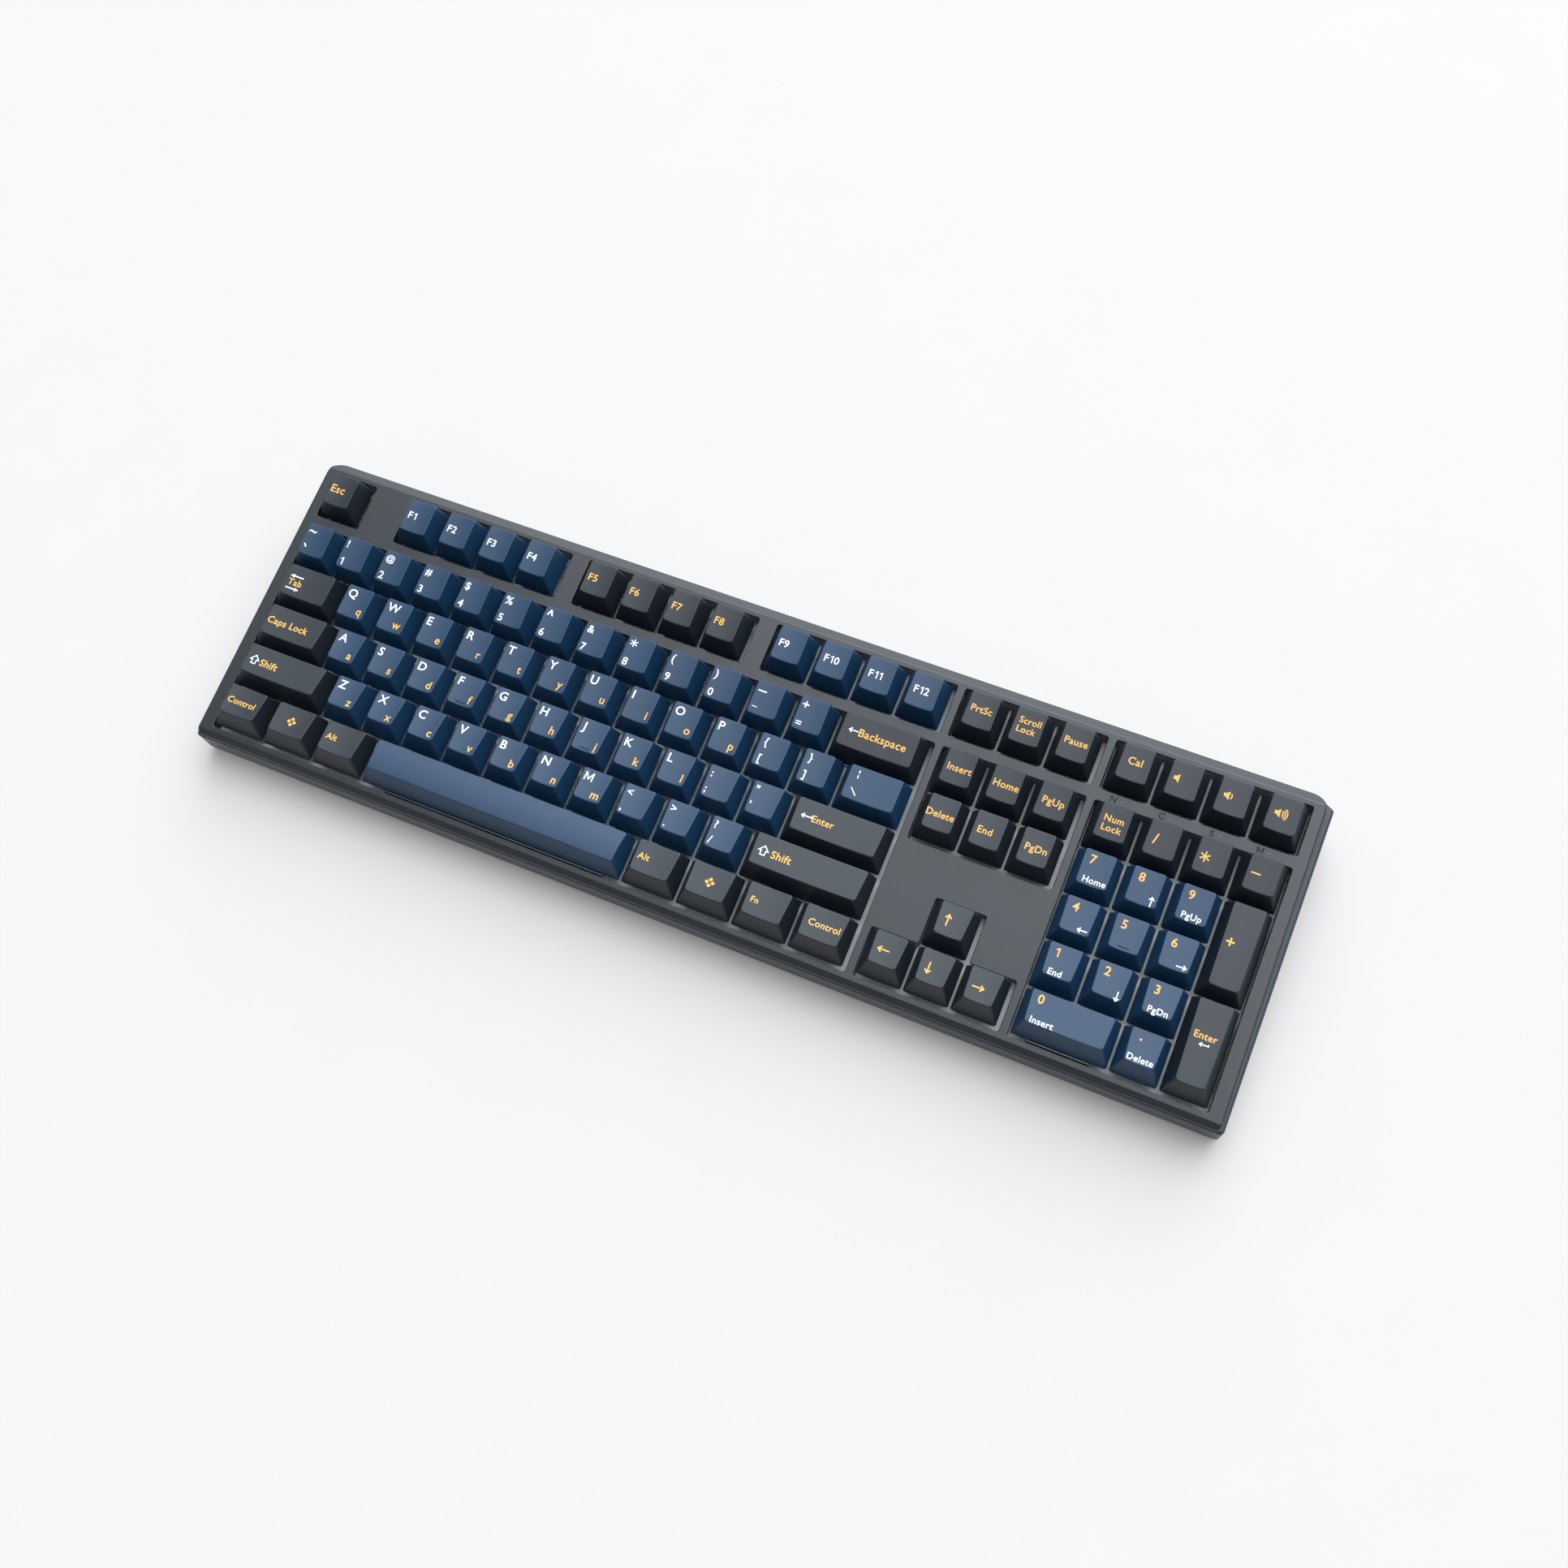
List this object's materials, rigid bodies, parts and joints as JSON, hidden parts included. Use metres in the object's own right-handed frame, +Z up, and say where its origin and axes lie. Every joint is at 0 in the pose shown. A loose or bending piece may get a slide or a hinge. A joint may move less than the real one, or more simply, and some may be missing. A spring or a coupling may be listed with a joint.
{
  "type": "mechanical keyboard",
  "caption": "Full-size mechanical keyboard with sculpted two-colour keycaps on individual switches, a two-layer case and two-stage folding feet.",
  "frame": {"origin": "centre of the footprint on the desk, at the bottom of the rubber pads", "axes": "+X along the keyboard towards the number pad, +Y towards the function row at the back, +Z up from the desk"},
  "size_m": [0.445, 0.1328, 0.04],
  "materials": {
    "case_top": "fine matte texture",
    "case_bottom": "fine matte texture",
    "keycap_navy": "fine matte texture",
    "keycap_dark": "fine matte texture",
    "plate_steel": "powder coated",
    "board": "solder mask",
    "rubber": "matte",
    "switch_housing": "clear",
    "spring_steel": "bright",
    "pins": "bright",
    "stabiliser": "smooth",
    "socket": "bright",
    "chip": "moulded",
    "light_pipe": "clear",
    "screw": "zinc plated",
    "foot": "fine matte texture"
  },
  "bodies": {
    "case": {"bottom_case": "case_bottom", "case_screws": "screw", "circuit_board": "board", "controller_chips": "chip", "damping_mat": "rubber", "indicator_light_pipes": "light_pipe", "rubber_pads": "rubber", "stabiliser_housings": "stabiliser", "stabiliser_wires": "spring_steel", "switch_lower_housings": "switch_housing", "switch_pins": "pins", "switch_plate": "plate_steel", "switch_springs": "spring_steel", "switch_upper_housings": "switch_housing", "top_case": "case_top", "usb_board": "board", "usb_socket": "socket"},
    "key_backslash": {"key_backslash": "keycap_navy"},
    "key_backspace": {"key_backspace": "keycap_dark"},
    "key_caps_lock": {"key_caps_lock": "keycap_dark"},
    "key_down": {"key_down": "keycap_dark"},
    "key_enter": {"key_enter": "keycap_dark"},
    "key_escape": {"key_escape": "keycap_dark"},
    "key_fn": {"key_fn": "keycap_dark"},
    "key_left": {"key_left": "keycap_dark"},
    "key_left_alt": {"key_left_alt": "keycap_dark"},
    "key_left_command": {"key_left_command": "keycap_dark"},
    "key_left_control": {"key_left_control": "keycap_dark"},
    "key_left_shift": {"key_left_shift": "keycap_dark"},
    "key_numpad_0": {"key_numpad_0": "keycap_navy"},
    "key_numpad_enter": {"key_numpad_enter": "keycap_dark"},
    "key_numpad_plus": {"key_numpad_plus": "keycap_dark"},
    "key_numpad_point": {"key_numpad_point": "keycap_navy"},
    "key_right": {"key_right": "keycap_dark"},
    "key_right_alt": {"key_right_alt": "keycap_dark"},
    "key_right_command": {"key_right_command": "keycap_dark"},
    "key_right_control": {"key_right_control": "keycap_dark"},
    "key_right_shift": {"key_right_shift": "keycap_dark"},
    "key_space": {"key_space": "keycap_navy"},
    "key_tab": {"key_tab": "keycap_dark"},
    "key_up": {"key_up": "keycap_dark"},
    "keys_a_to_quote": {"keys_a_to_quote": "keycap_navy"},
    "keys_delete_group": {"keys_delete_group": "keycap_dark"},
    "keys_f1_to_f4": {"keys_f1_to_f4": "keycap_navy"},
    "keys_f5_to_f8": {"keys_f5_to_f8": "keycap_dark"},
    "keys_f9_to_f12": {"keys_f9_to_f12": "keycap_navy"},
    "keys_insert_group": {"keys_insert_group": "keycap_dark"},
    "keys_number_row": {"keys_number_row": "keycap_navy"},
    "keys_numpad_123": {"keys_numpad_123": "keycap_navy"},
    "keys_numpad_456": {"keys_numpad_456": "keycap_navy"},
    "keys_numpad_789": {"keys_numpad_789": "keycap_navy"},
    "keys_numpad_signs": {"keys_numpad_signs": "keycap_dark"},
    "keys_print_group": {"keys_print_group": "keycap_dark"},
    "keys_q_to_bracket": {"keys_q_to_bracket": "keycap_navy"},
    "keys_volume_group": {"keys_volume_group": "keycap_dark"},
    "keys_z_to_slash": {"keys_z_to_slash": "keycap_navy"},
    "left_short_foot": {"left_short_foot": "foot"},
    "left_tall_foot": {"left_tall_foot": "foot"},
    "right_short_foot": {"right_short_foot": "foot"},
    "right_tall_foot": {"right_tall_foot": "foot"}
  },
  "joints": [
    {"name": "key_backslash_travel", "type": "slide", "parent": "case", "child": "key_backslash", "axis": [0, 0.0872, -0.9962], "range_m": [0, 0.004], "stiffness_N_per_m": 70, "springref_m": -0.0045, "deforming": ["switch_springs"]},
    {"name": "key_backspace_travel", "type": "slide", "parent": "case", "child": "key_backspace", "axis": [0, 0.0872, -0.9962], "range_m": [0, 0.004], "stiffness_N_per_m": 70, "springref_m": -0.0045, "deforming": ["switch_springs"]},
    {"name": "key_caps_lock_travel", "type": "slide", "parent": "case", "child": "key_caps_lock", "axis": [0, 0.0872, -0.9962], "range_m": [0, 0.004], "stiffness_N_per_m": 70, "springref_m": -0.0045, "deforming": ["switch_springs"]},
    {"name": "key_down_travel", "type": "slide", "parent": "case", "child": "key_down", "axis": [0, 0.0872, -0.9962], "range_m": [0, 0.004], "stiffness_N_per_m": 70, "springref_m": -0.0045, "deforming": ["switch_springs"]},
    {"name": "key_enter_travel", "type": "slide", "parent": "case", "child": "key_enter", "axis": [0, 0.0872, -0.9962], "range_m": [0, 0.004], "stiffness_N_per_m": 70, "springref_m": -0.0045, "deforming": ["switch_springs"]},
    {"name": "key_escape_travel", "type": "slide", "parent": "case", "child": "key_escape", "axis": [0, 0.0872, -0.9962], "range_m": [0, 0.004], "stiffness_N_per_m": 70, "springref_m": -0.0045, "deforming": ["switch_springs"]},
    {"name": "key_fn_travel", "type": "slide", "parent": "case", "child": "key_fn", "axis": [0, 0.0872, -0.9962], "range_m": [0, 0.004], "stiffness_N_per_m": 70, "springref_m": -0.0045, "deforming": ["switch_springs"]},
    {"name": "key_left_travel", "type": "slide", "parent": "case", "child": "key_left", "axis": [0, 0.0872, -0.9962], "range_m": [0, 0.004], "stiffness_N_per_m": 70, "springref_m": -0.0045, "deforming": ["switch_springs"]},
    {"name": "key_left_alt_travel", "type": "slide", "parent": "case", "child": "key_left_alt", "axis": [0, 0.0872, -0.9962], "range_m": [0, 0.004], "stiffness_N_per_m": 70, "springref_m": -0.0045, "deforming": ["switch_springs"]},
    {"name": "key_left_command_travel", "type": "slide", "parent": "case", "child": "key_left_command", "axis": [0, 0.0872, -0.9962], "range_m": [0, 0.004], "stiffness_N_per_m": 70, "springref_m": -0.0045, "deforming": ["switch_springs"]},
    {"name": "key_left_control_travel", "type": "slide", "parent": "case", "child": "key_left_control", "axis": [0, 0.0872, -0.9962], "range_m": [0, 0.004], "stiffness_N_per_m": 70, "springref_m": -0.0045, "deforming": ["switch_springs"]},
    {"name": "key_left_shift_travel", "type": "slide", "parent": "case", "child": "key_left_shift", "axis": [0, 0.0872, -0.9962], "range_m": [0, 0.004], "stiffness_N_per_m": 70, "springref_m": -0.0045, "deforming": ["switch_springs"]},
    {"name": "key_numpad_0_travel", "type": "slide", "parent": "case", "child": "key_numpad_0", "axis": [0, 0.0872, -0.9962], "range_m": [0, 0.004], "stiffness_N_per_m": 70, "springref_m": -0.0045, "deforming": ["switch_springs"]},
    {"name": "key_numpad_enter_travel", "type": "slide", "parent": "case", "child": "key_numpad_enter", "axis": [0, 0.0872, -0.9962], "range_m": [0, 0.004], "stiffness_N_per_m": 70, "springref_m": -0.0045, "deforming": ["switch_springs"]},
    {"name": "key_numpad_plus_travel", "type": "slide", "parent": "case", "child": "key_numpad_plus", "axis": [0, 0.0872, -0.9962], "range_m": [0, 0.004], "stiffness_N_per_m": 70, "springref_m": -0.0045, "deforming": ["switch_springs"]},
    {"name": "key_numpad_point_travel", "type": "slide", "parent": "case", "child": "key_numpad_point", "axis": [0, 0.0872, -0.9962], "range_m": [0, 0.004], "stiffness_N_per_m": 70, "springref_m": -0.0045, "deforming": ["switch_springs"]},
    {"name": "key_right_travel", "type": "slide", "parent": "case", "child": "key_right", "axis": [0, 0.0872, -0.9962], "range_m": [0, 0.004], "stiffness_N_per_m": 70, "springref_m": -0.0045, "deforming": ["switch_springs"]},
    {"name": "key_right_alt_travel", "type": "slide", "parent": "case", "child": "key_right_alt", "axis": [0, 0.0872, -0.9962], "range_m": [0, 0.004], "stiffness_N_per_m": 70, "springref_m": -0.0045, "deforming": ["switch_springs"]},
    {"name": "key_right_command_travel", "type": "slide", "parent": "case", "child": "key_right_command", "axis": [0, 0.0872, -0.9962], "range_m": [0, 0.004], "stiffness_N_per_m": 70, "springref_m": -0.0045, "deforming": ["switch_springs"]},
    {"name": "key_right_control_travel", "type": "slide", "parent": "case", "child": "key_right_control", "axis": [0, 0.0872, -0.9962], "range_m": [0, 0.004], "stiffness_N_per_m": 70, "springref_m": -0.0045, "deforming": ["switch_springs"]},
    {"name": "key_right_shift_travel", "type": "slide", "parent": "case", "child": "key_right_shift", "axis": [0, 0.0872, -0.9962], "range_m": [0, 0.004], "stiffness_N_per_m": 70, "springref_m": -0.0045, "deforming": ["switch_springs"]},
    {"name": "key_space_travel", "type": "slide", "parent": "case", "child": "key_space", "axis": [0, 0.0872, -0.9962], "range_m": [0, 0.004], "stiffness_N_per_m": 70, "springref_m": -0.0045, "deforming": ["switch_springs"]},
    {"name": "key_tab_travel", "type": "slide", "parent": "case", "child": "key_tab", "axis": [0, 0.0872, -0.9962], "range_m": [0, 0.004], "stiffness_N_per_m": 70, "springref_m": -0.0045, "deforming": ["switch_springs"]},
    {"name": "key_up_travel", "type": "slide", "parent": "case", "child": "key_up", "axis": [0, 0.0872, -0.9962], "range_m": [0, 0.004], "stiffness_N_per_m": 70, "springref_m": -0.0045, "deforming": ["switch_springs"]},
    {"name": "keys_a_to_quote_travel", "type": "slide", "parent": "case", "child": "keys_a_to_quote", "axis": [0, 0.0872, -0.9962], "range_m": [0, 0.004], "stiffness_N_per_m": 770, "springref_m": -0.0045, "deforming": ["switch_springs"]},
    {"name": "keys_delete_group_travel", "type": "slide", "parent": "case", "child": "keys_delete_group", "axis": [0, 0.0872, -0.9962], "range_m": [0, 0.004], "stiffness_N_per_m": 210, "springref_m": -0.0045, "deforming": ["switch_springs"]},
    {"name": "keys_f1_to_f4_travel", "type": "slide", "parent": "case", "child": "keys_f1_to_f4", "axis": [0, 0.0872, -0.9962], "range_m": [0, 0.004], "stiffness_N_per_m": 280, "springref_m": -0.0045, "deforming": ["switch_springs"]},
    {"name": "keys_f5_to_f8_travel", "type": "slide", "parent": "case", "child": "keys_f5_to_f8", "axis": [0, 0.0872, -0.9962], "range_m": [0, 0.004], "stiffness_N_per_m": 280, "springref_m": -0.0045, "deforming": ["switch_springs"]},
    {"name": "keys_f9_to_f12_travel", "type": "slide", "parent": "case", "child": "keys_f9_to_f12", "axis": [0, 0.0872, -0.9962], "range_m": [0, 0.004], "stiffness_N_per_m": 280, "springref_m": -0.0045, "deforming": ["switch_springs"]},
    {"name": "keys_insert_group_travel", "type": "slide", "parent": "case", "child": "keys_insert_group", "axis": [0, 0.0872, -0.9962], "range_m": [0, 0.004], "stiffness_N_per_m": 210, "springref_m": -0.0045, "deforming": ["switch_springs"]},
    {"name": "keys_number_row_travel", "type": "slide", "parent": "case", "child": "keys_number_row", "axis": [0, 0.0872, -0.9962], "range_m": [0, 0.004], "stiffness_N_per_m": 910, "springref_m": -0.0045, "deforming": ["switch_springs"]},
    {"name": "keys_numpad_123_travel", "type": "slide", "parent": "case", "child": "keys_numpad_123", "axis": [0, 0.0872, -0.9962], "range_m": [0, 0.004], "stiffness_N_per_m": 210, "springref_m": -0.0045, "deforming": ["switch_springs"]},
    {"name": "keys_numpad_456_travel", "type": "slide", "parent": "case", "child": "keys_numpad_456", "axis": [0, 0.0872, -0.9962], "range_m": [0, 0.004], "stiffness_N_per_m": 210, "springref_m": -0.0045, "deforming": ["switch_springs"]},
    {"name": "keys_numpad_789_travel", "type": "slide", "parent": "case", "child": "keys_numpad_789", "axis": [0, 0.0872, -0.9962], "range_m": [0, 0.004], "stiffness_N_per_m": 210, "springref_m": -0.0045, "deforming": ["switch_springs"]},
    {"name": "keys_numpad_signs_travel", "type": "slide", "parent": "case", "child": "keys_numpad_signs", "axis": [0, 0.0872, -0.9962], "range_m": [0, 0.004], "stiffness_N_per_m": 280, "springref_m": -0.0045, "deforming": ["switch_springs"]},
    {"name": "keys_print_group_travel", "type": "slide", "parent": "case", "child": "keys_print_group", "axis": [0, 0.0872, -0.9962], "range_m": [0, 0.004], "stiffness_N_per_m": 210, "springref_m": -0.0045, "deforming": ["switch_springs"]},
    {"name": "keys_q_to_bracket_travel", "type": "slide", "parent": "case", "child": "keys_q_to_bracket", "axis": [0, 0.0872, -0.9962], "range_m": [0, 0.004], "stiffness_N_per_m": 840, "springref_m": -0.0045, "deforming": ["switch_springs"]},
    {"name": "keys_volume_group_travel", "type": "slide", "parent": "case", "child": "keys_volume_group", "axis": [0, 0.0872, -0.9962], "range_m": [0, 0.004], "stiffness_N_per_m": 280, "springref_m": -0.0045, "deforming": ["switch_springs"]},
    {"name": "keys_z_to_slash_travel", "type": "slide", "parent": "case", "child": "keys_z_to_slash", "axis": [0, 0.0872, -0.9962], "range_m": [0, 0.004], "stiffness_N_per_m": 700, "springref_m": -0.0045, "deforming": ["switch_springs"]},
    {"name": "left_short_foot_fold", "type": "hinge", "parent": "case", "child": "left_short_foot", "pos_m": [-0.178, 0.052, 0.0047], "axis": [1, 0, 0], "range_deg": [0, 90]},
    {"name": "left_tall_foot_fold", "type": "hinge", "parent": "case", "child": "left_tall_foot", "pos_m": [-0.178, 0.052, 0.0047], "axis": [1, 0, 0], "range_deg": [0, 90]},
    {"name": "right_short_foot_fold", "type": "hinge", "parent": "case", "child": "right_short_foot", "pos_m": [0.178, 0.052, 0.0047], "axis": [1, 0, 0], "range_deg": [0, 90]},
    {"name": "right_tall_foot_fold", "type": "hinge", "parent": "case", "child": "right_tall_foot", "pos_m": [0.178, 0.052, 0.0047], "axis": [1, 0, 0], "range_deg": [0, 90]}
  ]
}
